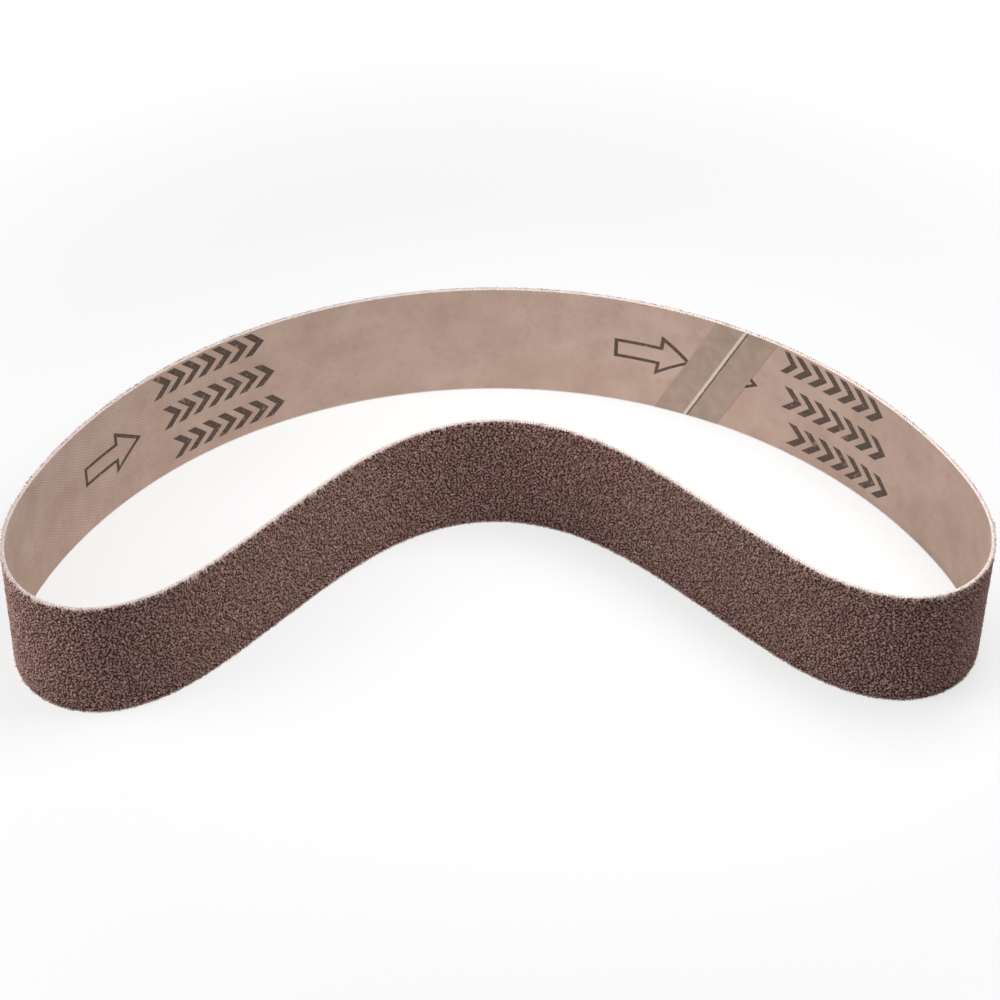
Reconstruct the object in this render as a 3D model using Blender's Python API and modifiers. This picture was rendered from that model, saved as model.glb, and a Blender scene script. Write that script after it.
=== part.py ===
"""Sanding belt: a strip of cloth-backed abrasive, spliced into a loop that stands on its edge.

Lengths are in metres and +Z is up. The hollow of the loop faces -Y, and the origin is on the
floor, under the middle of the loop's bounding box.
"""

from math import atan2, cos, hypot, pi, radians, sin, sqrt, tan

import bmesh
import bpy
import numpy as np
from mathutils import Matrix, Vector

# The belt as it is sold. Its length is taken along the cloth side.
BELT_LENGTH = 0.760
BELT_WIDTH = 0.040
CLOTH_THICKNESS = 0.00075
GRIT_THICKNESS = 0.00050

# The bends that it stands in. The back and the ends curve one way and the hollow the other,
# with a straight flank between each end and the hollow, before they are eased together.
BACK_RADIUS = 0.146
END_RADIUS = 0.0285
HOLLOW_RADIUS = 0.050
NECK_DEPTH = 0.061  # from the back across to the hollow
EASING = 0.060  # length of belt over which one bend goes over into the next
WIDEST_BACK_TURN = 0.8 * pi  # where the search for the back's turn on each side ends
TURN_TOLERANCE = 1e-12

# The splice. Both ends of the strip are cut on one slant and butt together, and a film tape
# glued to the cloth holds them.
SPLICE_FROM_BACK_MIDDLE = 0.074  # along the belt, to the right
SPLICE_SLANT = radians(65)  # between the cut and the belt's edge
SPLICE_GAP = 0.0002
TAPE_WIDTH = 0.019
TAPE_THICKNESS = 0.0002
TAPE_TRIM = 0.0005  # how far the tape stops short of the belt's edges

FACET_LENGTH = 0.002
SHARP_ANGLE = radians(40)


def clear_scene():
    for leftover in list(bpy.data.objects):
        bpy.data.objects.remove(leftover)


def new_collection(name):
    collection = bpy.data.collections.new(name)
    bpy.context.scene.collection.children.link(collection)
    return collection


def new_material(name, colour, roughness):
    material = bpy.data.materials.new(name)
    material.use_nodes = True
    material.diffuse_color = (*colour, 1.0)
    shader = material.node_tree.nodes["Principled BSDF"]
    shader.inputs["Base Color"].default_value = (*colour, 1.0)
    shader.inputs["Roughness"].default_value = roughness
    shader.inputs["Metallic"].default_value = 0.0
    return material


def half_stretches(back_turn):
    """The four stretches of half a loop, as their lengths and the headings at their ends.

    The half runs clockwise from the middle of the back to the middle of the front: back, end,
    flank and hollow. Headings are taken clockwise from +X. The end arc touches the back arc from
    inside, and the flank is the tangent that crosses from the end arc to the hollow arc.
    """
    end_x = (BACK_RADIUS - END_RADIUS) * sin(back_turn)
    end_y = (BACK_RADIUS - END_RADIUS) * cos(back_turn) - BACK_RADIUS
    hollow_y = -NECK_DEPTH - HOLLOW_RADIUS
    both_radii = END_RADIUS + HOLLOW_RADIUS
    flank_length = sqrt(hypot(end_x, hollow_y - end_y) ** 2 - both_radii ** 2)
    flank_heading = pi + atan2(hollow_y - end_y, end_x) + atan2(both_radii, flank_length)
    lengths = (
        BACK_RADIUS * back_turn,
        END_RADIUS * (flank_heading - back_turn),
        flank_length,
        HOLLOW_RADIUS * (flank_heading - pi),
    )
    return lengths, (0.0, back_turn, flank_heading, flank_heading, pi)


def eased_loop(back_turn):
    """Points round the whole loop, clockwise from the middle of the back.

    Each point becomes the mean of its neighbours over the easing length, so that the curvature
    ramps from bend to bend, as it does in a springy strip.
    """
    lengths, headings = half_stretches(back_turn)
    marks = np.concatenate(([0.0], np.cumsum(lengths)))
    facets = round(BELT_LENGTH / 2 / FACET_LENGTH)
    step = marks[-1] / facets
    heading = np.interp((np.arange(facets) + 0.5) * step, marks, headings)
    half = np.zeros((facets + 1, 2))
    half[1:, 0] = np.cumsum(np.cos(heading) * step)
    half[1:, 1] = np.cumsum(-np.sin(heading) * step)
    half[:, 0] -= np.linspace(0.0, half[-1, 0], facets + 1)  # the last point meets the centre line
    loop = np.vstack((half, half[-2:0:-1] * (-1.0, 1.0)))
    reach = round(EASING / FACET_LENGTH / 2)
    shifts = range(-reach, reach + 1)
    return sum(np.roll(loop, shift, axis=0) for shift in shifts) / len(shifts)


def travelled(loop):
    """The distance along the loop to each of its points, and at last to the first one again."""
    facets = np.roll(loop, -1, axis=0) - loop
    return np.concatenate(([0.0], np.cumsum(np.hypot(*facets.T))))


def belt_loop():
    """The cloth side seen from above, centred on the origin, at the belt's own length.

    The more the back turns, the further apart the ends lie and the longer the loop is.
    """
    least, most = 0.0, WIDEST_BACK_TURN
    while most - least > TURN_TOLERANCE:
        back_turn = (least + most) / 2
        loop = eased_loop(back_turn)
        if travelled(loop)[-1] < BELT_LENGTH:
            least = back_turn
        else:
            most = back_turn
    loop[:, 1] -= (loop[:, 1].min() + loop[:, 1].max()) / 2
    return loop


def splice_frame(loop):
    """Where the splice is: X runs square to the cut, Y out of the loop and Z up along the cut."""
    distances = travelled(loop)
    closed = np.vstack((loop, loop[:1]))
    centre_x, centre_y = (np.interp(SPLICE_FROM_BACK_MIDDLE, distances, line) for line in closed.T)
    facet = np.searchsorted(distances, SPLICE_FROM_BACK_MIDDLE) - 1
    forward = Vector((*(closed[facet + 1] - closed[facet]), 0.0)).normalized()
    outward = Vector((-forward.y, forward.x, 0.0))
    up = Vector((0.0, 0.0, 1.0))
    square = forward * sin(SPLICE_SLANT) - up * cos(SPLICE_SLANT)
    rising = forward * cos(SPLICE_SLANT) + up * sin(SPLICE_SLANT)
    frame = Matrix((square, outward, rising)).transposed().to_4x4()
    frame.translation = (centre_x, centre_y, BELT_WIDTH / 2)
    return frame


def stretch_across_splice(loop, half_span):
    """The loop's points over a stretch that reaches a facet past half_span beside the splice."""
    start = SPLICE_FROM_BACK_MIDDLE - half_span
    beyond_start = (travelled(loop)[:-1] - start) % BELT_LENGTH
    first = int(beyond_start.argmin())
    inside = int((beyond_start < 2 * half_span).sum())
    return [loop[point % len(loop)] for point in range(first - 1, first + inside + 1)]


def upright_sheet(line, bottom, top, closed):
    """A wall of quads raised on a line of points, with its faces pointing left of the line."""
    sheet = bmesh.new()
    corners = [sheet.verts.new((x, y, bottom)) for x, y in line]
    following = corners[1:] + corners[:1] if closed else corners[1:]
    edges = [sheet.edges.new(pair) for pair in zip(corners, following)]
    raised = bmesh.ops.extrude_edge_only(sheet, edges=edges)["geom"]
    raised_corners = [item for item in raised if isinstance(item, bmesh.types.BMVert)]
    bmesh.ops.translate(sheet, verts=raised_corners, vec=(0.0, 0.0, top - bottom))
    return sheet


def new_part(name, sheet, materials, collection, holder):
    mesh = bpy.data.meshes.new(name)
    sheet.to_mesh(mesh)
    sheet.free()
    for material in materials:
        mesh.materials.append(material)
    part = bpy.data.objects.new(name, mesh)
    part.parent = holder
    collection.objects.link(part)
    return part


def thicken(part, thickness, side):
    """Give a sheet its thickness, on the outer side of the loop for 1 and the inner for -1."""
    solidify = part.modifiers.new("thickness", "SOLIDIFY")
    solidify.thickness = thickness
    solidify.offset = side
    solidify.use_even_offset = True
    return solidify


def apply_modifiers(part):
    """Turn a part's modifiers into its mesh, shaded smooth but for its corners."""
    evaluated = part.evaluated_get(bpy.context.evaluated_depsgraph_get())
    mesh = bpy.data.meshes.new_from_object(evaluated)
    part.modifiers.clear()
    part.data = mesh
    mesh.shade_smooth()
    mesh.set_sharp_from_angle(angle=SHARP_ANGLE)


def make_splice_cutter(frame, collection):
    """A thin slanted blade through the belt, as wide as the gap that the splice keeps."""
    reach = BELT_WIDTH / 4  # past the belt on every side
    size = (SPLICE_GAP, 2 * reach, BELT_WIDTH / sin(SPLICE_SLANT) + 2 * reach)
    blade = bmesh.new()
    bmesh.ops.create_cube(blade, size=1.0)
    bmesh.ops.scale(blade, vec=size, verts=blade.verts)
    cutter = new_part("splice_cutter", blade, [], collection, None)
    cutter.matrix_world = frame
    cutter.hide_render = True
    cutter.display_type = "WIRE"
    return cutter


def make_abrasive_strip(loop, cutter, collection, holder):
    """One strip of cloth with its coat of grit, bent round the loop until its ends butt."""
    cloth = new_material("cloth_backing", (0.45, 0.33, 0.26), 0.85)
    grit = new_material("abrasive_grit", (0.20, 0.13, 0.115), 0.75)
    sheet = upright_sheet(loop, 0.0, BELT_WIDTH, closed=True)
    strip = new_part("abrasive_strip", sheet, [grit, cloth], collection, holder)
    solidify = thicken(strip, CLOTH_THICKNESS + GRIT_THICKNESS, side=1)
    solidify.material_offset = 1  # the face that the sheet itself keeps is cloth
    solidify.material_offset_rim = 1
    cut = strip.modifiers.new("splice", "BOOLEAN")
    cut.operation = "DIFFERENCE"
    cut.solver = "EXACT"
    cut.object = cutter
    apply_modifiers(strip)


def make_splice_tape(loop, frame, collection, holder):
    """A slip of film across the splice, its two ends cut on the same slant as the belt's."""
    film = new_material("splice_film", (0.36, 0.31, 0.23), 0.40)
    half_span = TAPE_WIDTH / 2 / sin(SPLICE_SLANT) + BELT_WIDTH / 2 / tan(SPLICE_SLANT)
    stretch = stretch_across_splice(loop, half_span)
    sheet = upright_sheet(stretch, TAPE_TRIM, BELT_WIDTH - TAPE_TRIM, closed=False)
    square = frame.col[0].xyz
    for side in (square, -square):
        bmesh.ops.bisect_plane(
            sheet,
            geom=sheet.verts[:] + sheet.edges[:] + sheet.faces[:],
            plane_co=frame.translation + side * TAPE_WIDTH / 2,
            plane_no=side,
            clear_outer=True,
        )
    tape = new_part("splice_tape", sheet, [film], collection, holder)
    thicken(tape, TAPE_THICKNESS, side=-1)
    apply_modifiers(tape)


def main():
    clear_scene()
    belt = new_collection("sanding_belt")
    cutters = new_collection("cutters")
    holder = bpy.data.objects.new("belt_centre", None)
    belt.objects.link(holder)
    loop = belt_loop()
    frame = splice_frame(loop)
    cutter = make_splice_cutter(frame, cutters)
    make_abrasive_strip(loop, cutter, belt, holder)
    make_splice_tape(loop, frame, belt, holder)


main()
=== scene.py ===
"""The looks of a coarse cloth-backed sanding belt, 40 mm wide and 760 mm round, standing on edge.

Lengths are in metres, +Z is up, and the origin is on the floor under the middle of the belt.
"""

from math import atan2, cos, hypot, pi, radians, sin, sqrt, tan

import bpy
import numpy as np
from mathutils import Matrix, Vector


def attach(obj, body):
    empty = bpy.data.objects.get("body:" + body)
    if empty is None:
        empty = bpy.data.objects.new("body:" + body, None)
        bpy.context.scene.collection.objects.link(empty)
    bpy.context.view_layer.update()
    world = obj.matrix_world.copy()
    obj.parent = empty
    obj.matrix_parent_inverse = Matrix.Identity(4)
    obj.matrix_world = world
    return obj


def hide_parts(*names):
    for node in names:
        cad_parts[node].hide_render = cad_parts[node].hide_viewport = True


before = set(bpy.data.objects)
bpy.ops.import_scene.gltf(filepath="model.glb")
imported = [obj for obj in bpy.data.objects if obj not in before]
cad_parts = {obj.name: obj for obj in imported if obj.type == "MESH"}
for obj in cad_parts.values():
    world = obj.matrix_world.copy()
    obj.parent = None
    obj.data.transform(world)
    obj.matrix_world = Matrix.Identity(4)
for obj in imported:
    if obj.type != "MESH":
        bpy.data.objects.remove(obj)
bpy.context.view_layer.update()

# Cloth backing: heavy polyester twill, stiffened and filled with resin, slit to the belt's width.
# It is bent into the loop that the belt stands in: a bowed back, two tight ends and a hollow
# front, eased into each other as a springy strip does. Both ends are cut on one slant and butt.
BELT_LENGTH = 0.760  # along the cloth side
BELT_WIDTH = 0.040
CLOTH_THICKNESS = 0.00075
BACK_RADIUS = 0.146
END_RADIUS = 0.0285
HOLLOW_RADIUS = 0.050
NECK_DEPTH = 0.061
EASING = 0.060  # length of belt over which one bend goes over into the next
LOOP_STEP = 0.0005
WIDEST_BACK_TURN = 0.8 * pi  # where the search for the back's turn on each side ends
TURN_TOLERANCE = 1e-12
SPLICE_FROM_BACK_MIDDLE = 0.074
SPLICE_SLANT = radians(65)
SPLICE_GAP = 0.0002
SHEARED_LENGTH = 0.030  # how far from the cut the mesh's columns stand askew


def half_stretches(back_turn):
    """Back, end, flank and hollow of half a loop, as their lengths and their end headings."""
    end_x = (BACK_RADIUS - END_RADIUS) * sin(back_turn)
    end_y = (BACK_RADIUS - END_RADIUS) * cos(back_turn) - BACK_RADIUS
    hollow_y = -NECK_DEPTH - HOLLOW_RADIUS
    both_radii = END_RADIUS + HOLLOW_RADIUS
    flank_length = sqrt(hypot(end_x, hollow_y - end_y) ** 2 - both_radii ** 2)
    flank_heading = pi + atan2(hollow_y - end_y, end_x) + atan2(both_radii, flank_length)
    lengths = (
        BACK_RADIUS * back_turn,
        END_RADIUS * (flank_heading - back_turn),
        flank_length,
        HOLLOW_RADIUS * (flank_heading - pi),
    )
    return lengths, (0.0, back_turn, flank_heading, flank_heading, pi)


def eased_loop(back_turn):
    """Points round the loop, clockwise from the middle of the back, with the bends eased."""
    lengths, headings = half_stretches(back_turn)
    marks = np.concatenate(([0.0], np.cumsum(lengths)))
    facets = round(BELT_LENGTH / 2 / LOOP_STEP)
    step = marks[-1] / facets
    heading = np.interp((np.arange(facets) + 0.5) * step, marks, headings)
    half = np.zeros((facets + 1, 2))
    half[1:, 0] = np.cumsum(np.cos(heading) * step)
    half[1:, 1] = np.cumsum(-np.sin(heading) * step)
    half[:, 0] -= np.linspace(0.0, half[-1, 0], facets + 1)
    loop = np.vstack((half, half[-2:0:-1] * (-1.0, 1.0)))
    reach = round(EASING / LOOP_STEP / 2)
    return sum(np.roll(loop, shift, axis=0) for shift in range(-reach, reach + 1)) / (2 * reach + 1)


def travelled(loop):
    """The distance along the loop to each of its points, and at last to the first one again."""
    facets = np.roll(loop, -1, axis=0) - loop
    return np.concatenate(([0.0], np.cumsum(np.hypot(*facets.T))))


least_turn, most_turn = 0.0, WIDEST_BACK_TURN
while most_turn - least_turn > TURN_TOLERANCE:
    back_turn = (least_turn + most_turn) / 2
    belt_line = eased_loop(back_turn)
    if travelled(belt_line)[-1] < BELT_LENGTH:
        least_turn = back_turn
    else:
        most_turn = back_turn
belt_line[:, 1] -= (belt_line[:, 1].min() + belt_line[:, 1].max()) / 2
line_marks = travelled(belt_line)
chords = np.roll(belt_line, -1, axis=0) - np.roll(belt_line, 1, axis=0)
outward_ways = np.column_stack((-chords[:, 1], chords[:, 0])) / np.linalg.norm(chords, axis=1)[:, None]
closed_line = np.vstack((belt_line, belt_line[:1]))
closed_ways = np.vstack((outward_ways, outward_ways[:1]))


def along_strip(from_splice, height):
    """Distance from the back's middle to a point of the strip, which starts at the slanted cut.

    The mesh's columns slant with the cut beside it, and ease upright further away.
    """
    to_cut = np.minimum(from_splice, BELT_LENGTH - from_splice)
    askew = np.clip(1 - to_cut / SHEARED_LENGTH, 0, 1)
    askew = askew * askew * (3 - 2 * askew)
    return SPLICE_FROM_BACK_MIDDLE + from_splice + askew * (height - BELT_WIDTH / 2) / tan(SPLICE_SLANT)


def on_belt(along, height, outward):
    """Points in space, from their distance round the belt, their height and their depth in it."""
    along = np.asarray(along) % BELT_LENGTH
    x, y = (np.interp(along, line_marks, line) for line in closed_line.T)
    out_x, out_y = (np.interp(along, line_marks, line) for line in closed_ways.T)
    return np.stack((x + out_x * outward, y + out_y * outward, height + 0 * x), axis=-1)


STRIP_MAP = "along_belt"
BAKE_MAP = "OFBake"
MAP_ROWS = 5  # the strip is laid in this many rows on the square that its colours are baked to
MAP_ROW_FILL = 0.98  # of a row's height and of the square's breadth, which leaves room for the two ends
CAP_MARGIN = 0.2  # the share of that room that the ends leave free


def mapped_piece(mesh, strip_map, bake_map):
    """An object for a mesh, whose corners get their place on the strip and on the baked square."""
    for map_name, corners in ((STRIP_MAP, strip_map), (BAKE_MAP, bake_map)):
        mesh.uv_layers.new(name=map_name).uv.foreach_set("vector", corners.astype(np.float32).ravel())
    mesh.uv_layers[STRIP_MAP].active_render = True
    mesh.validate()
    piece = bpy.data.objects.new(mesh.name, mesh)
    bpy.context.scene.collection.objects.link(piece)
    return piece


def strip_piece(name, from_splice, height, outward, map_shares, proud=None):
    """A closed body with its cross-section swept along the belt from one end of the strip to the other.

    The three arrays hold a row for each column of points along the strip and a place for each
    point round the section: up the inner face, out over the top, down and back in. Where proud
    is given, faces become triangles, split along the prouder diagonal.
    """
    columns, around = height.shape
    along = along_strip(from_splice, height)
    places = on_belt(along, height, outward).reshape(-1, 3)
    column, point = np.meshgrid(np.arange(columns - 1), np.arange(around), indexing="ij")
    corner_column = np.stack((column, column + 1, column + 1, column), axis=-1).reshape(-1, 4)
    corner_point = np.stack((point, point, point + 1, point + 1), axis=-1).reshape(-1, 4)
    if proud is not None:
        level = proud[corner_column, corner_point % around]
        level_ridge = (level[:, 0] + level[:, 2] >= level[:, 1] + level[:, 3])[:, None]
        first = np.where(level_ridge, (0, 1, 2), (0, 1, 3))
        second = np.where(level_ridge, (0, 2, 3), (1, 2, 3))
        split = np.stack((first, second), axis=1).reshape(-1, 6)
        corner_column = np.take_along_axis(corner_column, split, axis=1).reshape(-1, 3)
        corner_point = np.take_along_axis(corner_point, split, axis=1).reshape(-1, 3)
    faces = corner_column * around + corner_point % around
    start_cap = list(range(around))
    end_cap = [(columns - 1) * around + place for place in reversed(start_cap)]
    mesh = bpy.data.meshes.new(name)
    mesh.from_pydata(places, [], [*faces.tolist(), start_cap, end_cap])

    strip_share = from_splice[corner_column, corner_point % around] / BELT_LENGTH
    up = height[corner_column, corner_point % around] / BELT_WIDTH
    cap_share = np.repeat((0.0, 1.0), around)
    cap_up = np.concatenate((height[0], height[-1][::-1])) / BELT_WIDTH
    strip_map = np.column_stack((
        np.concatenate((strip_share.ravel(), cap_share)),
        np.concatenate((up.ravel(), cap_up)),
    ))
    row = corner_column.min(axis=1, keepdims=True) * MAP_ROWS // (columns - 1)
    shares = np.concatenate(([0.0], np.cumsum(map_shares) / np.sum(map_shares)))
    margin = 1 - MAP_ROW_FILL
    across = (corner_column * MAP_ROWS / (columns - 1) - row) * MAP_ROW_FILL
    upward = (row + margin / 2 + MAP_ROW_FILL * shares[corner_point]) / MAP_ROWS
    cap_point = (np.arange(2 * around) % around) / around
    cap_across = 1 - margin * (CAP_MARGIN + (1 - 2 * CAP_MARGIN) * cap_point)
    cap_upward = ((1 - CAP_MARGIN) * cap_up + cap_share) / 2
    bake_map = np.column_stack((
        np.concatenate((across.ravel(), cap_across)),
        np.concatenate((upward.ravel(), cap_upward)),
    ))
    return mapped_piece(mesh, strip_map, bake_map)


def steady_noise(seed, marks, pitch):
    """Random values from 0 to 1 along marks, with a new one at every pitch."""
    knots = int(BELT_LENGTH / pitch) + 3
    values = np.random.default_rng(seed).random(knots)
    return np.interp(marks / pitch % (knots - 1), np.arange(knots), values)


LOWER_INNER_HEIGHTS = np.array((0.0, 0.3, 1.0, 4.0, 20.0)) / 1000
RIM_DEPTHS = np.array((0.15, 0.35, 0.55)) / 1000
RIM_ROUNDING = 0.00008
LIP_DROPS = np.array((0.0, 0.03, 0.28, 0.55)) / 1000  # the slitting knife smears cloth over the grit
LIP_REACHES = np.array((0.0, 0.78, 0.70, 0.0)) / 1000  # at most
YARN_PITCH = 0.00085  # from one cut weft yarn's end to the next, along the slit edge
YARN_END_DEPTH = 0.00042  # how far the cloth is notched between them
YARN_LEAN = 0.8  # how far the yarns' ends shift along the edge, as a share of their depth in the cloth
YARN_DRIFT = 2.5  # how far their spacing wanders, in radians of a pitch
YARN_DRIFT_LENGTH = 0.004  # from one random value to the next, as are the two below
RAGGED_LENGTH = 0.0006
SMEAR_LENGTH = 0.0010
NOTCH_RAGGEDNESS = 0.3  # the share of a notch's depth that is random
LEAST_SMEAR = 0.2  # of the lip's reach
CLOTH_COLUMN = 0.00025
AT_EDGE = 0.00005  # the section's points this near an edge belong to the rim
RIM_ON_MAP = 3  # how much larger the narrow rim is laid on the baked square
HIDDEN_ON_MAP = 0.001  # the room there for the cloth's face under the grit

cloth_columns = round(BELT_LENGTH / CLOTH_COLUMN / MAP_ROWS) * MAP_ROWS + 1
cloth_marks = np.linspace(SPLICE_GAP / 2, BELT_LENGTH - SPLICE_GAP / 2, cloth_columns)
inner_heights = np.concatenate((LOWER_INNER_HEIGHTS, BELT_WIDTH - LOWER_INNER_HEIGHTS[-2::-1]))
rim_outward = np.concatenate((RIM_DEPTHS, np.full(len(LIP_DROPS), CLOTH_THICKNESS)))
rim_drop = np.concatenate((np.zeros(len(RIM_DEPTHS)), LIP_DROPS))
rim_reach = np.concatenate((np.zeros(len(RIM_DEPTHS)), LIP_REACHES))
section_outward = np.concatenate((np.zeros(len(inner_heights)), rim_outward, rim_outward[::-1]))
section_height = np.concatenate((inner_heights, BELT_WIDTH - rim_drop, rim_drop[::-1]))
section_reach = np.concatenate((np.zeros(len(inner_heights)), rim_reach, rim_reach[::-1]))
cloth_height = np.tile(section_height, (cloth_columns, 1))
cloth_outward = np.tile(section_outward, (cloth_columns, 1))
notched = np.zeros_like(cloth_height)
for place in np.flatnonzero(np.minimum(section_height, BELT_WIDTH - section_height) < AT_EDGE):
    at_top = section_height[place] > BELT_WIDTH / 2
    yarn_turn = 2 * pi * (cloth_marks + YARN_LEAN * section_outward[place]) / YARN_PITCH
    yarn_turn += YARN_DRIFT * steady_noise(11 + at_top, cloth_marks, YARN_DRIFT_LENGTH)
    yarn_gap = 0.5 + 0.5 * np.cos(yarn_turn)
    ragged = steady_noise(100 + place, cloth_marks, RAGGED_LENGTH)
    notched[:, place] = (1 - NOTCH_RAGGEDNESS) * yarn_gap ** 2 + NOTCH_RAGGEDNESS * ragged
    notch = YARN_END_DEPTH * notched[:, place] + RIM_ROUNDING * (section_outward[place] == 0)
    cloth_height[:, place] += -notch if at_top else notch
    if section_reach[place]:
        patches = steady_noise(31 + at_top, cloth_marks, SMEAR_LENGTH)
        smear = LEAST_SMEAR + (1 - LEAST_SMEAR) * (1 - yarn_gap) * patches
        lip = slice(place, place + 2) if at_top else slice(place - 1, place + 1)
        cloth_outward[:, lip] += section_reach[lip] * smear[:, None]
rim_map_shares = RIM_ON_MAP * np.diff(section_outward, append=0.0)
cloth_map_shares = np.hypot(rim_map_shares, np.diff(section_height, append=0.0))
cloth_map_shares[len(inner_heights) + len(rim_outward) - 1] = HIDDEN_ON_MAP
cloth_backing = strip_piece(
    "cloth_backing",
    np.tile(cloth_marks[:, None], (1, len(section_height))),
    cloth_height,
    cloth_outward,
    cloth_map_shares,
)


def keep_reading(mesh, name, domain, values):
    """Store a value for each point or face, for the mesh's finish to read."""
    mesh.attributes.new(name, "FLOAT", domain).data.foreach_set("value", values.astype(np.float32).ravel())


keep_reading(cloth_backing.data, "notched", "POINT", notched)
cloth_backing.data.shade_smooth()


class Reading:
    """A value read from a shader's node. Arithmetic on readings adds Math nodes."""

    def __init__(self, finish, socket):
        self.finish = finish
        self.socket = socket

    def maths(self, operation, *terms):
        return self.finish.node("ShaderNodeMath", {"operation": operation}, dict(enumerate(terms)))

    def __add__(self, other):
        return self.maths("ADD", self, other)

    def __radd__(self, other):
        return self.maths("ADD", other, self)

    def __sub__(self, other):
        return self.maths("SUBTRACT", self, other)

    def __rsub__(self, other):
        return self.maths("SUBTRACT", other, self)

    def __mul__(self, other):
        return self.maths("MULTIPLY", self, other)

    def __rmul__(self, other):
        return self.maths("MULTIPLY", other, self)

    def __truediv__(self, other):
        return self.maths("DIVIDE", self, other)

    def __rtruediv__(self, other):
        return self.maths("DIVIDE", other, self)

    def __mod__(self, other):
        return self.maths("FLOORED_MODULO", self, other)

    def __rmod__(self, other):
        return self.maths("FLOORED_MODULO", other, self)

    def __lt__(self, other):
        return self.maths("LESS_THAN", self, other)

    def __gt__(self, other):
        return self.maths("GREATER_THAN", self, other)

    def __abs__(self):
        return self.maths("ABSOLUTE", self)

    def output(self, name):
        """Another output of the node that this value comes from."""
        return Reading(self.finish, self.socket.node.outputs[name])

    def least(self, other):
        return self.maths("MINIMUM", self, other)

    def most(self, other):
        return self.maths("MAXIMUM", self, other)

    def ramp(self, start, end):
        """0 up to start, 1 past end and a straight rise between them."""
        return self.finish.node(
            "ShaderNodeMapRange",
            {"clamp": True},
            {"Value": self, "From Min": start, "From Max": end},
        )


TO_MM = 1000


class Finish:
    """The nodes of a material or of the world, added one by one."""

    def __init__(self, owner):
        owner.use_nodes = True
        self.owner = owner
        self.tree = owner.node_tree

    def set(self, node, inputs):
        for name, value in inputs.items():
            if isinstance(value, Reading):
                self.tree.links.new(value.socket, node.inputs[name])
            elif isinstance(value, tuple) and len(value) == 3 and node.inputs[name].type == "RGBA":
                node.inputs[name].default_value = (*value, 1.0)
            else:
                node.inputs[name].default_value = value

    def node(self, kind, settings, inputs, output=0):
        """Add a node: its type, its settings, what its sockets take and the output that is read."""
        node = self.tree.nodes.new(kind)
        for name, value in settings.items():
            setattr(node, name, value)
        self.set(node, inputs)
        return Reading(self, node.outputs[output])

    def noise(self, size, detail=2.0, seed=0.0):
        """Three-dimensional noise whose lumps are about this size."""
        return self.node(
            "ShaderNodeTexNoise",
            {"noise_dimensions": "4D"},
            {"Vector": self.place(), "Scale": 1 / size, "Detail": detail, "W": seed},
        )

    def place(self):
        return self.node("ShaderNodeTexCoord", {}, {}, "Object")

    def kept_reading(self, name):
        return self.node("ShaderNodeAttribute", {"attribute_name": name}, {}, "Fac")

    def strip_place(self):
        """Distance from the splice and height, both in millimetres."""
        strip_map = self.node("ShaderNodeUVMap", {"uv_map": STRIP_MAP}, {})
        shares = self.node("ShaderNodeSeparateXYZ", {}, {0: strip_map})
        return shares * (BELT_LENGTH * TO_MM), shares.output(1) * (BELT_WIDTH * TO_MM)

    def from_edge(self):
        """Distance from the nearer slit edge, in millimetres."""
        height = self.strip_place()[1]
        return height.least(BELT_WIDTH * TO_MM - height)

    def mix(self, share, one, other):
        return self.node(
            "ShaderNodeMix", {"data_type": "RGBA"}, {"Factor": share, 6: one, 7: other}, 2
        )

    def bump(self, height, strength, distance):
        return self.node(
            "ShaderNodeBump", {}, {"Height": height, "Strength": strength, "Distance": distance}
        )

    def feed(self, **inputs):
        """Give the surface shader's sockets their values."""
        shader = self.tree.nodes["Principled BSDF"]
        self.set(shader, {name.replace("_", " "): value for name, value in inputs.items()})


# Printing on the cloth side: dark brown ink, rolled on before the belt was cut. Each repeat has
# a running-direction arrow in outline and three rows of chevrons, which the splice cuts short.
PRINT_REPEAT = 184.3  # millimetres, as are all sizes of the print
PRINT_START = 23.0  # from the splice to the first chevron
CHEVRON_PITCH = 5.6
CHEVRONS = 7
CHEVRON_HEIGHT = 8.4
CHEVRON_STROKE = 2.1
ROW_HEIGHTS = (34.6, 21.4, 8.2)
ROW_SHIFT = 3.0  # each row starts this much further along than the one above
ARROW_TIP = -9.0  # from the first chevron
ARROW_HEAD = 11.0
ARROW_SHAFT = 14.0
ARROW_HALF_WIDTH = 8.0
SHAFT_HALF_WIDTH = 3.6
ARROW_LINE = 1.2
ARROW_HEIGHT = 21.0


def chevron_row(along, upward, middle, start):
    """Where a row of chevrons, each pointing along the belt, is inked."""
    off_middle = abs(upward - middle)
    slid = along - start + off_middle
    stroke = abs(slid % CHEVRON_PITCH - CHEVRON_PITCH / 2) < CHEVRON_STROKE * sqrt(0.5)
    in_row = (slid > 0) * (slid < CHEVRON_PITCH * CHEVRONS)
    return stroke * in_row * (off_middle < CHEVRON_HEIGHT / 2)


def block_arrow(along, upward, inset):
    """Where a block arrow is filled, with its edges moved in by inset."""
    from_tip = ARROW_TIP - along
    off_middle = abs(upward - ARROW_HEIGHT)
    slope = ARROW_HALF_WIDTH / ARROW_HEAD
    head = (off_middle < from_tip * slope - inset * sqrt(1 + slope ** 2)) * (from_tip < ARROW_HEAD - inset)
    shaft = (off_middle < SHAFT_HALF_WIDTH - inset) * (from_tip < ARROW_HEAD + ARROW_SHAFT - inset)
    return head.most(shaft * (from_tip > ARROW_HEAD - inset * 1.5))


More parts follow.
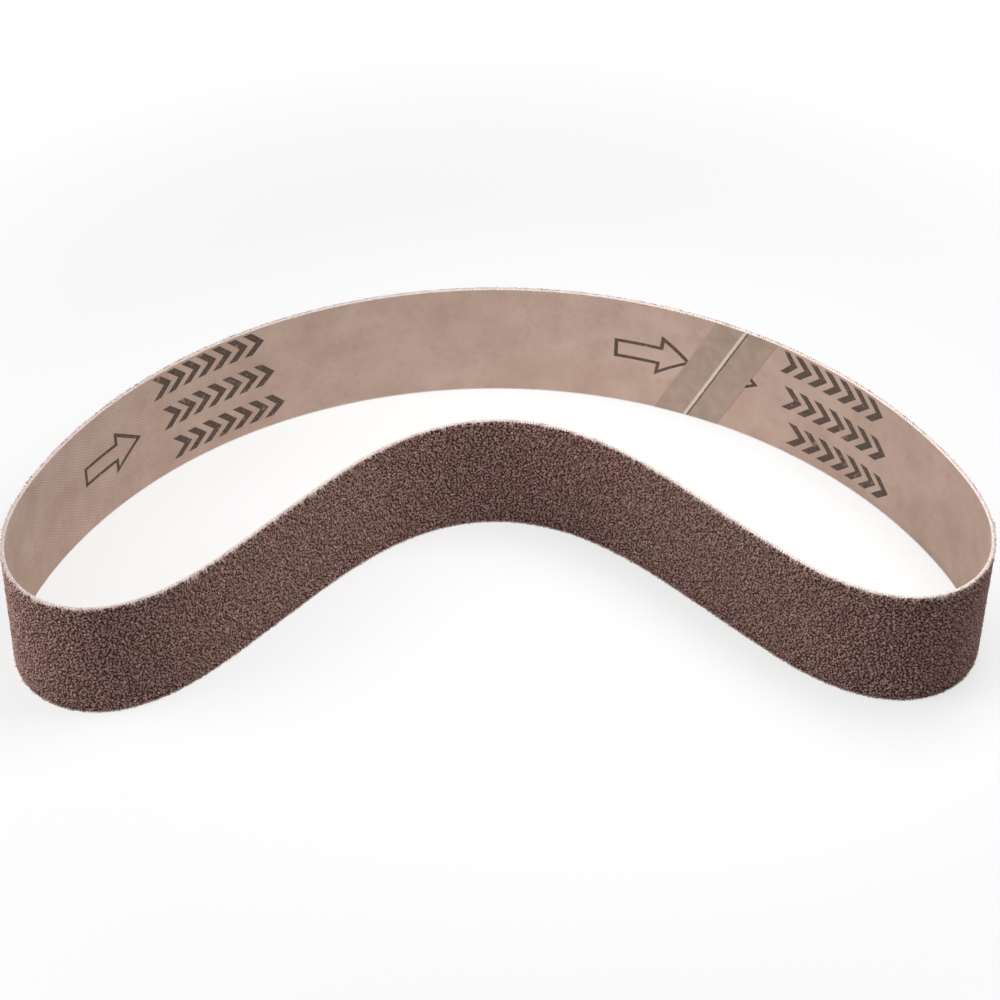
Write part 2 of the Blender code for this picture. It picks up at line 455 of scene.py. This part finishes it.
CLOTH_TAN = (0.465, 0.334, 0.270)
CLOTH_DEEP = (0.350, 0.240, 0.187)
CLOTH_PALE = (0.565, 0.422, 0.352)
FIBRE_CREAM = (0.82, 0.70, 0.65)
FIBRE_SHADE = (0.50, 0.39, 0.345)
# The next colour is painted shade, laid into the deep notches between the cut yarns' ends.
PAINTED_NOTCH_SHADE = (0.21, 0.145, 0.120)
INK_BROWN = (0.045, 0.026, 0.016)
TWILL_PITCH = 0.62  # millimetres between the ribs of the weave
TWILL_SLOPE = 0.8  # how steeply the ribs run across the belt
INK_DENSITY = 0.97

cloth = Finish(bpy.data.materials.new("resin_filled_twill"))
along, upward = cloth.strip_place()
clouds = cloth.noise(0.012, detail=4)
specks = cloth.noise(0.0006, detail=1, seed=3)
mottle = cloth.noise(0.0022, detail=3, seed=5)
twill = abs((along * TWILL_SLOPE + upward) % TWILL_PITCH - TWILL_PITCH / 2) / TWILL_PITCH
tan_cloth = cloth.mix(clouds.ramp(0.35, 0.7), CLOTH_TAN, CLOTH_PALE)
tan_cloth = cloth.mix(mottle.ramp(0.5, 0.75) * 0.3, tan_cloth, CLOTH_DEEP)
tan_cloth = cloth.mix(twill.ramp(0.25, 0.0) * 0.25, tan_cloth, CLOTH_DEEP)
tan_cloth = cloth.mix(specks.ramp(0.66, 0.74) * 0.4, tan_cloth, CLOTH_DEEP)
in_repeat = (along - (PRINT_START - PRINT_REPEAT / 2)) % PRINT_REPEAT - PRINT_REPEAT / 2
ink = block_arrow(in_repeat, upward, 0.0) * (1 - block_arrow(in_repeat, upward, ARROW_LINE))
for rows_above, middle in enumerate(ROW_HEIGHTS):
    ink = ink.most(chevron_row(in_repeat, upward, middle, rows_above * ROW_SHIFT))
ink_cover = ink * (0.88 + 0.12 * specks.ramp(0.62, 0.40)) * mottle.ramp(0.85, 0.6)
printed = cloth.mix(ink_cover * INK_DENSITY, tan_cloth, INK_BROWN)
fibre_shadow = cloth.noise(0.0005, detail=2, seed=9)
# The cut fibres' cream, with painted shade where the notches between the yarns' ends run deep.
in_notch = cloth.kept_reading("notched")
fibres_and_notch_shade = cloth.mix((fibre_shadow + in_notch).ramp(0.95, 1.40), FIBRE_CREAM, PAINTED_NOTCH_SHADE)
at_edge = (cloth.from_edge() + 0.35 * fibre_shadow).ramp(0.78, 0.50)
weave = twill * 1.2 + specks * 0.5 + fibre_shadow * at_edge * 1.5
cloth.feed(
    Base_Color=cloth.mix(at_edge, printed, fibres_and_notch_shade),
    Roughness=0.8,
    Normal=cloth.bump(weave, 0.7, 0.0002),
)
cloth_backing.data.materials.append(cloth.owner)
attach(cloth_backing, "root")
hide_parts("abrasive_strip")


# Splice tape: a slip of resin film, pressed and cured over the butted ends on the cloth side.
# It lies flat and smooth, olive-grey where it shows the cloth through itself.
FILM_OLIVE = (0.315, 0.232, 0.176)
FILM_PALE = (0.400, 0.300, 0.235)
FILM_SHOWS = 0.5  # millimetres on each side of the cut where it shows through
FILM_WAVER = 0.4  # millimetres by which its lines waver
FILM_HALF_WIDTH = 9.5  # millimetres
FILM_RIM = 0.8  # millimetres
HEADING_CHORD = 0.002  # of belt, from which its heading at the cut is taken
splice_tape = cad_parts["splice_tape"]
cut_along, cut_rise = cos(SPLICE_SLANT), sin(SPLICE_SLANT)
cut_middle = on_belt(SPLICE_FROM_BACK_MIDDLE, BELT_WIDTH / 2, 0.0)
cut_chord = on_belt(SPLICE_FROM_BACK_MIDDLE + HEADING_CHORD, BELT_WIDTH / 2, 0.0) - cut_middle
cut_heading = cut_chord / np.linalg.norm(cut_chord)
square_to_cut = cut_heading * cut_rise - np.array((0.0, 0.0, cut_along))
film = Finish(bpy.data.materials.new("splice_film"))
film_clouds = film.noise(0.004, detail=3)
film_streaks = film.noise(0.0007, detail=1, seed=2)
across_cut = film.node(
    "ShaderNodeVectorMath",
    {"operation": "DOT_PRODUCT"},
    {0: film.place(), 1: tuple(square_to_cut)},
    "Value",
)
waver = FILM_WAVER * (film_streaks - 0.5)
beside_cut = (across_cut - float(square_to_cut @ cut_middle)) * TO_MM + waver
filmed = film.mix(film_clouds.ramp(0.35, 0.75), FILM_OLIVE, FILM_PALE)
filmed = film.mix((abs(beside_cut + FILM_SHOWS) < FILM_SHOWS) * 0.6, filmed, FIBRE_CREAM)
filmed = film.mix((abs(beside_cut - FILM_SHOWS * 0.5) < FILM_SHOWS * 0.5) * 0.85, filmed, INK_BROWN)
filmed = film.mix(abs(beside_cut).ramp(FILM_HALF_WIDTH - FILM_RIM, FILM_HALF_WIDTH) * 0.5, filmed, FILM_PALE)
film.feed(
    Base_Color=filmed,
    Roughness=0.32 + 0.2 * film_clouds,
    Normal=film.bump(film_streaks, 0.3, 0.0001),
)
for material_slot in splice_tape.material_slots:
    material_slot.material = film.owner


# Resin coat: the hard brown film that the grain is bedded in, on the cloth's outer side. It is
# spread wet, cured, and shows as dark pits between the crystals.
RESIN_BASE = CLOTH_THICKNESS - 0.00004
RESIN_LEVEL = 0.00084
RESIN_RELIEF = 0.00006
RESIN_SPACING = 0.0010
RESIN_SCATTER = 0.3  # of the spacing
CRUMBLED_EDGE = 0.00030  # how far the coat has broken away along the slit edges

coat_luck = np.random.default_rng(40)
resin_rows = round(BELT_WIDTH / RESIN_SPACING)
resin_columns = round(BELT_LENGTH / RESIN_SPACING / MAP_ROWS) * MAP_ROWS + 1
resin_marks = np.linspace(SPLICE_GAP / 2, BELT_LENGTH - SPLICE_GAP / 2, resin_columns)[:, None]
resin_height = np.tile(np.linspace(BELT_WIDTH, 0.0, resin_rows + 1), (resin_columns, 1))
resin_height[:, 1:-1] += RESIN_SCATTER * RESIN_SPACING * coat_luck.uniform(
    -1, 1, resin_height[:, 1:-1].shape
)
resin_height[:, 0] -= CRUMBLED_EDGE * coat_luck.random(resin_columns)
resin_height[:, -1] += CRUMBLED_EDGE * coat_luck.random(resin_columns)
resin_lump = coat_luck.uniform(-1, 1, resin_height.shape)
inner_edges = resin_height[:, [-1, 0]]
resin_map_shares = np.concatenate(((0.3, 0.7), np.ones(resin_rows), (0.7,)))  # back, rim, face, rim
resin_coat = strip_piece(
    "resin_coat",
    np.tile(resin_marks, (1, resin_rows + 3)),
    np.hstack((inner_edges, resin_height)),
    np.hstack((np.full_like(inner_edges, RESIN_BASE), RESIN_LEVEL + RESIN_RELIEF * resin_lump)),
    resin_map_shares,
    proud=np.hstack((np.zeros_like(inner_edges), resin_lump)),
)
resin_coat.data.shade_smooth()

RESIN_BROWN = (0.085, 0.044, 0.036)
RESIN_DARK = (0.045, 0.022, 0.018)
DUST = (0.56, 0.46, 0.42)
resin = Finish(bpy.data.materials.new("cured_resin"))
resin_crumbs = resin.noise(0.00035, detail=2, seed=1)
resin_dust = (resin.from_edge() + 0.5 * resin_crumbs).ramp(0.70, 0.35)
resin_colour = resin.mix(resin_crumbs.ramp(0.35, 0.65), RESIN_DARK, RESIN_BROWN)
resin.feed(
    Base_Color=resin.mix(resin_dust * resin_crumbs.ramp(0.40, 0.55) * 0.85, resin_colour, DUST),
    Roughness=0.7,
    Normal=resin.bump(resin_crumbs, 0.6, 0.0002),
    Specular_IOR_Level=0.1,
)
resin_coat.data.materials.append(resin.owner)
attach(resin_coat, "root")
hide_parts("abrasive_strip")


# Grain: blocky crystals of brown fused alumina in three sieve sizes, thrown upright into the wet
# resin by static charge and sealed with a second thin coat. The slitting knife cut those at the
# edges flat.
GRAIN_PITCH = 0.00078
GRAIN_SCATTER = 0.42  # of the pitch
GRAIN_RADII = {
    "coarse_grain": (0.00047, 0.00058),
    "middle_grain": (0.00041, 0.00051),
    "fine_grain": (0.00035, 0.00045),
}
GRAIN_BED = (0.00082, 0.00098)  # how far out the crystals' middles lie
GRAIN_TRIM = 0.00010  # how far the knife left them below the belt's edges
GRAIN_OFF_CUT = 0.00058  # from the splice to the nearest crystals' middles
DEEPEST_BED = CLOTH_THICKNESS + 0.00001
CRYSTAL_REACH = (0.72, 1.12)  # from its middle to each corner, in shares of its radius
CRYSTAL_THICKNESS = 0.95  # of its other sizes, square to the belt
CRYSTAL_FACES = np.array((
    (0, 2, 4), (2, 1, 4), (1, 3, 4), (3, 0, 4), (2, 0, 5), (1, 2, 5), (3, 1, 5), (0, 3, 5),
))
CRYSTAL_CORNERS = np.array(((1, 0, 0), (-1, 0, 0), (0, 1, 0), (0, -1, 0), (0, 0, 1), (0, 0, -1)))
UNFOLDED = np.array(((2, 1), (0, 1), (1, 2), (1, 0), (1, 1))) / 2  # its corners in a cell of the map
UNFOLDED_FOOT = np.array(((2, 2), (0, 2), (0, 0), (2, 0))) / 2  # the last one, for each face round it
CELL_MARGIN = 0.04
CELL_FILL = 0.92

grain_rows = round(BELT_WIDTH / (GRAIN_PITCH * sqrt(0.75)))
grain_columns = round((BELT_LENGTH - SPLICE_GAP) / GRAIN_PITCH)
lattice_column, lattice_row = np.meshgrid(np.arange(grain_columns), np.arange(grain_rows), indexing="ij")
lattice_share = (lattice_column + 0.25 + 0.5 * (lattice_row % 2)) / grain_columns  # staggered rows
lattice_marks = lattice_share * (BELT_LENGTH - SPLICE_GAP)
lattice_height = (lattice_row + 0.5) / grain_rows * BELT_WIDTH
scattered_marks = lattice_marks + GRAIN_PITCH * GRAIN_SCATTER * coat_luck.uniform(-1, 1, lattice_row.shape)
grain_height = lattice_height + GRAIN_PITCH * GRAIN_SCATTER * coat_luck.uniform(-1, 1, lattice_row.shape)
grain_marks = np.clip(scattered_marks, GRAIN_OFF_CUT, BELT_LENGTH - SPLICE_GAP - GRAIN_OFF_CUT)
grain_size = coat_luck.integers(len(GRAIN_RADII), size=lattice_row.shape)

GRAIN_MAUVE = (0.530, 0.305, 0.270)
GRAIN_OLIVE = (0.505, 0.320, 0.259)
GRAIN_RED = (0.555, 0.294, 0.266)
# Of the last two colours, the pale one lightens some crystals and paints glints on single facets; the dark
# one is painted shade on facets and down the crystals' feet.
GRAIN_PALE_AND_GLINT = (0.740, 0.530, 0.485)
GRAIN_PAINTED_SHADE = (0.125, 0.066, 0.056)


def turned(corners, luck):
    """Sets of corners, each turned about a way of its own."""
    spin = luck.normal(size=(len(corners), 4))
    w, x, y, z = (spin / np.linalg.norm(spin, axis=1)[:, None]).T[:, :, None]
    axis = np.concatenate((x, y, z), axis=1)[:, None, :]
    twice = 2 * np.cross(axis, corners)
    return corners + w[:, :, None] * twice + np.cross(axis, twice)


def map_cells(count):
    """Cells of the baked square for separate bodies: how many a side, and each one's corner."""
    cells = int(np.ceil(sqrt(count)))
    body = np.arange(count)[:, None, None]
    return cells, np.stack((body % cells, body // cells), axis=-1)


def grain_piece(name, chosen, radii, seed):
    """A piece of separate crystals, each an uneven eight-sided block, bedded in the resin."""
    luck = np.random.default_rng(seed)
    marks, heights = grain_marks[chosen], grain_height[chosen]
    count = len(marks)
    reach = luck.uniform(*CRYSTAL_REACH, (count, 6, 1)) * luck.uniform(*radii, (count, 1, 1))
    corners = turned(CRYSTAL_CORNERS * reach, luck)
    height = np.clip(heights[:, None] + corners[:, :, 2], GRAIN_TRIM, BELT_WIDTH - GRAIN_TRIM)
    bed = luck.uniform(*GRAIN_BED, (count, 1))
    outward = np.maximum(bed + corners[:, :, 1] * CRYSTAL_THICKNESS, DEEPEST_BED)
    along = along_strip(marks, heights)[:, None] + corners[:, :, 0]
    mesh = bpy.data.meshes.new(name)
    faces = (np.arange(count)[:, None, None] * 6 + CRYSTAL_FACES).reshape(-1, 3)
    mesh.from_pydata(on_belt(along, height, outward).reshape(-1, 3), [], faces.tolist())
    tip = (outward - DEEPEST_BED) / (max(GRAIN_BED) + max(radii) - DEEPEST_BED)
    # Each crystal's own random tone, and a random share for each facet that the finish paints as a glint
    # where high and as shade where low.
    tint_and_facet_light = 0.5 * luck.random((count, 1)) + 0.5 * luck.random((count, len(CRYSTAL_FACES)))
    keep_reading(mesh, "tip", "POINT", tip)
    keep_reading(mesh, "tint_and_facet_light", "FACE", tint_and_facet_light)
    cells, cell = map_cells(count)
    unfolded = np.concatenate((UNFOLDED, UNFOLDED[:1]))[CRYSTAL_FACES]
    unfolded[4:, 2] = UNFOLDED_FOOT
    bake_map = (cell + CELL_MARGIN + CELL_FILL * unfolded) / cells
    strip_map = np.stack((np.tile(marks[:, None], (1, 6)) / BELT_LENGTH, height / BELT_WIDTH), axis=-1)
    return mapped_piece(mesh, strip_map.reshape(-1, 2)[faces], bake_map)


grain = Finish(bpy.data.materials.new("fused_alumina"))
tip = grain.kept_reading("tip")
tint_and_facet_light = grain.kept_reading("tint_and_facet_light")
grain_crumbs = grain.noise(0.0003, detail=2, seed=1)
drift = grain.noise(0.016, detail=3, seed=6)
blush = grain.noise(0.009, detail=2, seed=7)
body = grain.mix(drift.ramp(0.45, 0.65), GRAIN_MAUVE, GRAIN_OLIVE)
body = grain.mix(blush.ramp(0.52, 0.70), body, GRAIN_RED)
# Pale crystals, and painted glints on single facets; painted shade on other facets, and down the crystals'
# feet towards the resin.
body = grain.mix(tint_and_facet_light.ramp(0.45, 0.85) * 0.7, body, GRAIN_PALE_AND_GLINT)
body = grain.mix(tint_and_facet_light.ramp(0.50, 0.15) * 0.5, body, GRAIN_PAINTED_SHADE)
body = grain.mix((tip + 0.2 * grain_crumbs).ramp(0.88, 0.32) * 0.78, body, GRAIN_PAINTED_SHADE)
grain_dust = (grain.from_edge() + 0.5 * grain_crumbs).ramp(1.05, 0.50) * (tint_and_facet_light > 0.25)
grain.feed(
    Base_Color=grain.mix(grain_dust * 0.75, body, DUST),
    Roughness=0.60 + 0.25 * grain_crumbs,
    Normal=grain.bump(grain_crumbs, 0.5, 0.0001),
    Specular_IOR_Level=0.12,
)
grain_pieces = [
    grain_piece(name, grain_size == size, radii, seed=41 + size)
    for size, (name, radii) in enumerate(GRAIN_RADII.items())
]
for piece in grain_pieces:
    piece.data.materials.append(grain.owner)
    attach(piece, "root")
    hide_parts("abrasive_strip")


# Frayed edges: cream polyester that the slitting knife pulled out of the weft yarns. Each cut yarn
# ends in a brush that is smeared out over the grit's rim, fine fibres stand between the brushes,
# and a few threads and tufts are drawn out of the cloth.
BRUSH_STRANDS = 7
BRUSH_LENGTH = (0.00045, 0.00105)
BRUSH_RADIUS = (0.000085, 0.000140)
FINE_FIBRES = 3200
FINE_FIBRE_LENGTH = (0.0004, 0.0015)
FINE_FIBRE_RADIUS = (0.000020, 0.000036)
THREADS = 16
THREAD_LENGTH = (0.0030, 0.0080)
THREAD_RADIUS = (0.000025, 0.000040)
THREAD_POINTS = 24
THREAD_ROOT = 0.0001  # below the edge
THREAD_DEPTH = 0.6  # of the cloth's thickness
THREAD_LIFT = (0.0002, 0.0010)
THREAD_SPREAD = 0.0009  # out of the loop or into it
THREAD_ARCH = 0.6  # of a half turn, so that a thread comes down again past its highest point
CURL_WAVES = (2.0, 5.0)  # half turns along a thread
CURL_SWING = (0.0001, 0.0003)
STANDING_THREAD = 0.374  # round the belt from the middle of its back
STANDING_LENGTH = 0.0012
STANDING_LIFT = 0.0027
STANDING_SPREAD = 0.0002
YARN_END_STEP = 0.75  # of the yarns' pitch, as an end is on one edge or the other
YARN_END_SCATTER = 0.3  # of the yarns' pitch
STRAND_LENGTH = (0.6, 1.0)  # of its clump's
STRAND_BEND = 0.3
STRAND_SCATTER = YARN_PITCH / 8
ROOT_DEPTH = YARN_END_DEPTH / 3  # below the edge
SHARE_AT_TOP = 0.55
LEAST_HEIGHT = 0.00004  # above the floor
FIBRE_SIDES = 3
FIBRE_THINNING = 0.75  # the share of its radius that a fibre loses by its tip
FIBRE_THINS_LATE = 1.5
ASKEW = (0.36, 0.48, 0.8)  # a way that no fibre takes
LEAST_LENGTH = 1e-12  # added to a length before it divides
TUBE_FILL = 0.80  # of a cell's height on the map, under the fibre's two ends
END_CORNERS = np.array((
    ((0.05, 0.88), (0.45, 0.88), (0.25, 0.96)), ((0.55, 0.88), (0.95, 0.88), (0.75, 0.96)),
))
CAUGHT_TUFTS = (0.3655, 0.3485, 0.076)  # the last one is at the splice
CAUGHT_STRANDS = 30
CAUGHT_WIDTH = 0.0007
CAUGHT_RISE = 0.8  # of what the same fibre rises elsewhere
CAUGHT_RADIUS = (0.00003, 0.00006)


def fibre_piece(name, paths, radii):
    """A piece of separate fibres, each a three-sided tube that thins out along its own path."""
    count, points = paths.shape[:2]
    heading = np.gradient(paths, axis=1)
    heading /= np.linalg.norm(heading, axis=2, keepdims=True) + LEAST_LENGTH
    sideways = np.cross(heading, ASKEW)
    sideways /= np.linalg.norm(sideways, axis=2, keepdims=True) + LEAST_LENGTH
    turn = 2 * pi * np.arange(FIBRE_SIDES) / FIBRE_SIDES
    ring = sideways[:, :, None, :] * np.cos(turn)[:, None]
    ring = ring + np.cross(heading, sideways)[:, :, None, :] * np.sin(turn)[:, None]
    thinning = 1 - FIBRE_THINNING * np.linspace(0, 1, points)[:, None, None] ** FIBRE_THINS_LATE
    skin = paths[:, :, None, :] + ring * thinning * np.asarray(radii)[:, None, None, None]
    skin[..., 1] = np.maximum(skin[..., 1], LEAST_HEIGHT / 2)
    places = on_belt(skin[..., 0], skin[..., 1], skin[..., 2]).reshape(-1, 3)
    step, side = np.meshgrid(np.arange(points - 1), np.arange(FIBRE_SIDES), indexing="ij")
    quads = np.stack((
        step * FIBRE_SIDES + side,
        step * FIBRE_SIDES + (side + 1) % FIBRE_SIDES,
        (step + 1) * FIBRE_SIDES + (side + 1) % FIBRE_SIDES,
        (step + 1) * FIBRE_SIDES + side,
    ), axis=-1).reshape(-1, 4)
    sides = np.arange(FIBRE_SIDES)
    caps = np.stack((sides[::-1], sides + (points - 1) * FIBRE_SIDES))
    first = np.arange(count)[:, None, None] * points * FIBRE_SIDES
    faces = [*(first + quads).reshape(-1, 4).tolist(), *(first + caps).reshape(-1, 3).tolist()]
    mesh = bpy.data.meshes.new(name)
    mesh.from_pydata(places, [], faces)
    cells, cell = map_cells(count)
    across = np.stack((side, side + 1, side + 1, side), axis=-1).reshape(-1, 4) / FIBRE_SIDES
    upward = np.stack((step, step, step + 1, step + 1), axis=-1).reshape(-1, 4) / (points - 1)
    tube = np.stack((CELL_FILL * across, TUBE_FILL * upward), axis=-1)
    quad_cells = (cell + CELL_MARGIN + tube) / cells
    cap_cells = (cell + END_CORNERS) / cells
    bake_map = np.concatenate((quad_cells.reshape(-1, 2), cap_cells.reshape(-1, 2)))
    strip_share = (skin[..., 0] - SPLICE_FROM_BACK_MIDDLE) % BELT_LENGTH / BELT_LENGTH
    strip_places = np.stack((strip_share, skin[..., 1] / BELT_WIDTH), axis=-1).reshape(-1, 2)
    corners = np.concatenate([np.array(face) for face in faces])
    return mapped_piece(mesh, strip_places[corners], bake_map)


def frayed_paths(luck, roots, strands, points, lengths, depths, way, scatter, droop):
    """Paths of clumps of fibres that leave the slit edges.

    The way they take is along the belt, away from its middle, and outward; droop bends it back.
    """
    clumps = len(roots)
    count = clumps * strands
    share = np.linspace(0, 1, points)[:, None]
    heading = np.repeat(way + luck.normal(0, scatter, (clumps, 3)), strands, axis=0)
    heading += luck.normal(0, scatter / 2, (count, 3))
    heading /= np.linalg.norm(heading, axis=1, keepdims=True)
    bend = luck.normal(0, STRAND_BEND, (count, 3)) - (0, droop, 0)
    length = np.repeat(luck.uniform(*lengths, clumps), strands) * luck.uniform(*STRAND_LENGTH, count)
    paths = length[:, None, None] * (share * heading[:, None] + share ** 2 * bend[:, None])
    paths[..., 0] += (np.repeat(roots, strands) + luck.normal(0, STRAND_SCATTER, count))[:, None]
    paths[..., 1] -= ROOT_DEPTH
    paths[..., 2] += CLOTH_THICKNESS * np.repeat(luck.uniform(*depths, clumps), strands)[:, None]
    at_top = np.repeat(luck.random(clumps) < SHARE_AT_TOP, strands)
    paths[at_top, :, 1] += BELT_WIDTH
    paths[~at_top, :, 1] *= -1
    paths[..., 1] = np.maximum(paths[..., 1], LEAST_HEIGHT)
    return paths


def drawn_threads(luck):
    """Long curly threads that lie along the top edge, and one that stands up in front."""
    share = np.linspace(0, 1, THREAD_POINTS)
    length = luck.uniform(*THREAD_LENGTH, THREADS)
    places = luck.uniform(0, BELT_LENGTH, THREADS)
    lift = luck.uniform(*THREAD_LIFT, THREADS)
    spread = luck.normal(0, THREAD_SPREAD, THREADS)
    places[0] = STANDING_THREAD
    length[0] = STANDING_LENGTH
    lift[0] = STANDING_LIFT
    spread[0] = STANDING_SPREAD
    wave = luck.uniform(*CURL_WAVES, (THREADS, 3, 1))
    phase = luck.uniform(0, 2 * pi, (THREADS, 3, 1))
    swing = luck.uniform(*CURL_SWING, (THREADS, 3, 1)) * share ** 0.5
    curls = swing * (np.sin(wave * share * pi + phase) - np.sin(phase))
    along = places[:, None] + (length[:, None] * share + curls[:, 0]) * luck.choice((-1, 1), (THREADS, 1))
    arch = lift[:, None] * np.sin(share * THREAD_ARCH * pi)
    height = BELT_WIDTH - THREAD_ROOT + arch + abs(curls[:, 1])
    outward = CLOTH_THICKNESS * THREAD_DEPTH + spread[:, None] * share + curls[:, 2]
    return np.stack((along, height, outward), axis=-1)


def caught_tufts(luck):
    """Clumps of pulled yarn on the top edge."""
    tuft_places = np.repeat(CAUGHT_TUFTS, CAUGHT_STRANDS)
    roots = tuft_places + luck.normal(0, CAUGHT_WIDTH, len(tuft_places))
    paths = frayed_paths(
        luck, roots, 1, 4, FINE_FIBRE_LENGTH, depths=(0.1, 1.0), way=(0, 0.6, 0.3), scatter=0.6, droop=0.1,
    )
    paths[..., 1] = BELT_WIDTH - ROOT_DEPTH + abs(paths[..., 1] - paths[:, :1, 1]) * CAUGHT_RISE
    return paths


fray_luck = np.random.default_rng(57)
even_ends = np.arange(0, BELT_LENGTH, YARN_PITCH * YARN_END_STEP)
end_shifts = fray_luck.uniform(-YARN_END_SCATTER, YARN_END_SCATTER, len(even_ends))
yarn_ends = even_ends + end_shifts * YARN_PITCH
yarn_brushes = frayed_paths(
    fray_luck, yarn_ends, BRUSH_STRANDS, 3, BRUSH_LENGTH,
    depths=(0.6, 1.2), way=(0, -0.1, 1.0), scatter=0.2, droop=1.0,
)
fine_fibres = frayed_paths(
    fray_luck, fray_luck.uniform(0, BELT_LENGTH, FINE_FIBRES), 1, 4, FINE_FIBRE_LENGTH,
    depths=(0.1, 1.1), way=(0, 0.5, 0.35), scatter=0.5, droop=0.25,
)
tufts = caught_tufts(fray_luck)
frayed_pieces = [
    fibre_piece("yarn_brushes", yarn_brushes, fray_luck.uniform(*BRUSH_RADIUS, len(yarn_brushes))),
    fibre_piece("fine_fibres", fine_fibres, fray_luck.uniform(*FINE_FIBRE_RADIUS, len(fine_fibres))),
    fibre_piece("caught_tufts", tufts, fray_luck.uniform(*CAUGHT_RADIUS, len(tufts))),
    fibre_piece("drawn_threads", drawn_threads(fray_luck), fray_luck.uniform(*THREAD_RADIUS, THREADS)),
]
fibre = Finish(bpy.data.materials.new("cream_polyester"))
fibre_tone = fibre.noise(0.0008, detail=2, seed=12)
fibre.feed(
    Base_Color=fibre.mix(fibre_tone.ramp(0.35, 0.75), FIBRE_CREAM, FIBRE_SHADE),
    Roughness=0.75,
)
for piece in frayed_pieces:
    piece.data.shade_smooth()
    piece.data.materials.append(fibre.owner)
    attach(piece, "root")
    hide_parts("abrasive_strip")


# Studio: a pale paper floor that goes over into a white background. Soft lights stand above the
# belt and to its left, and the even white of the room fills the shade.
FLOOR_SIZE = 6.0
FLOOR_PALE = (0.92, 0.92, 0.92)
WORLD_LEVEL = 0.25
WHITENED = 0.65  # how much of the floor's shading is hidden from the camera beside the belt
WHITE_FROM = 0.17  # how far from the middle the rest begins to be hidden
WHITE_PAST = 0.27

floor_mesh = bpy.data.meshes.new("studio_floor")
half = FLOOR_SIZE / 2
floor_mesh.from_pydata(
    [(-half, -half, 0), (half, -half, 0), (half, half, 0), (-half, half, 0)], [], [(0, 1, 2, 3)]
)
floor = bpy.data.objects.new("studio_floor", floor_mesh)
bpy.context.scene.collection.objects.link(floor)
paper = Finish(bpy.data.materials.new("floor_paper"))
paper.feed(Base_Color=FLOOR_PALE, Roughness=0.9)
from_middle = paper.node("ShaderNodeVectorMath", {"operation": "LENGTH"}, {0: paper.place()}, "Value")
seen = paper.node("ShaderNodeLightPath", {}, {}, "Is Camera Ray")
white = paper.node("ShaderNodeEmission", {}, {"Color": (1.0, 1.0, 1.0), "Strength": 1.0})
paper_surface = Reading(paper, paper.tree.nodes["Principled BSDF"].outputs[0])
whiteness = seen * (WHITENED + (1 - WHITENED) * from_middle.ramp(WHITE_FROM, WHITE_PAST))
blend = paper.node("ShaderNodeMixShader", {}, {0: whiteness, 1: paper_surface, 2: white})
paper.tree.links.new(blend.socket, paper.tree.nodes["Material Output"].inputs["Surface"])
floor_mesh.materials.append(paper.owner)

room = Finish(bpy.data.worlds.new("studio"))
bpy.context.scene.world = room.owner
camera_ray = room.node("ShaderNodeLightPath", {}, {}, "Is Camera Ray")
mirrored_ray = camera_ray.output("Is Glossy Ray")
room.set(room.tree.nodes["Background"], {
    "Color": (1.0, 1.0, 1.0),
    "Strength": camera_ray.most(mirrored_ray) * (1.0 - WORLD_LEVEL) + WORLD_LEVEL,
})


def soft_light(name, place, size, watts):
    """A square area light that faces the middle of the belt."""
    lamp = bpy.data.lights.new(name, "AREA")
    lamp.size = size
    lamp.energy = watts
    light = bpy.data.objects.new(name, lamp)
    light.location = place
    to_belt = Vector((0, 0, BELT_WIDTH / 2)) - light.location
    light.rotation_euler = to_belt.to_track_quat("-Z", "Y").to_euler()
    bpy.context.scene.collection.objects.link(light)


soft_light("left_light", (-0.50, -0.10, 0.20), size=0.30, watts=1.25)
soft_light("middle_light", (0.11, 0.0, 0.27), size=0.20, watts=0.75)
soft_light("upper_left_light", (-0.20, -0.08, 0.30), size=0.25, watts=0.25)


# Camera: a long lens in front of the belt, tipped down by 41 degrees, as in the photograph. It
# stands a little to the left and is turned to the right by 2.5 degrees.
CAMERA_PLACE = (-0.02654, -0.64566, 0.58123)
CAMERA_TIP = radians(41.234)
CAMERA_YAW = radians(2.5)
CAMERA_ROLL = radians(0.931)
LENS_LENGTH = 103.65  # millimetres, as is the sensor
SENSOR_WIDTH = 36.0
camera_data = bpy.data.cameras.new("camera")
camera_data.lens = LENS_LENGTH
camera_data.sensor_width = SENSOR_WIDTH
camera = bpy.data.objects.new("camera", camera_data)
camera.matrix_world = (
    Matrix.Translation(CAMERA_PLACE)
    @ Matrix.Rotation(-CAMERA_YAW, 4, "Z")
    @ Matrix.Rotation(pi / 2 - CAMERA_TIP, 4, "X")
    @ Matrix.Rotation(CAMERA_ROLL, 4, "Z")
)
bpy.context.scene.collection.objects.link(camera)
bpy.context.scene.camera = camera
bpy.context.scene.view_settings.view_transform = "Standard"
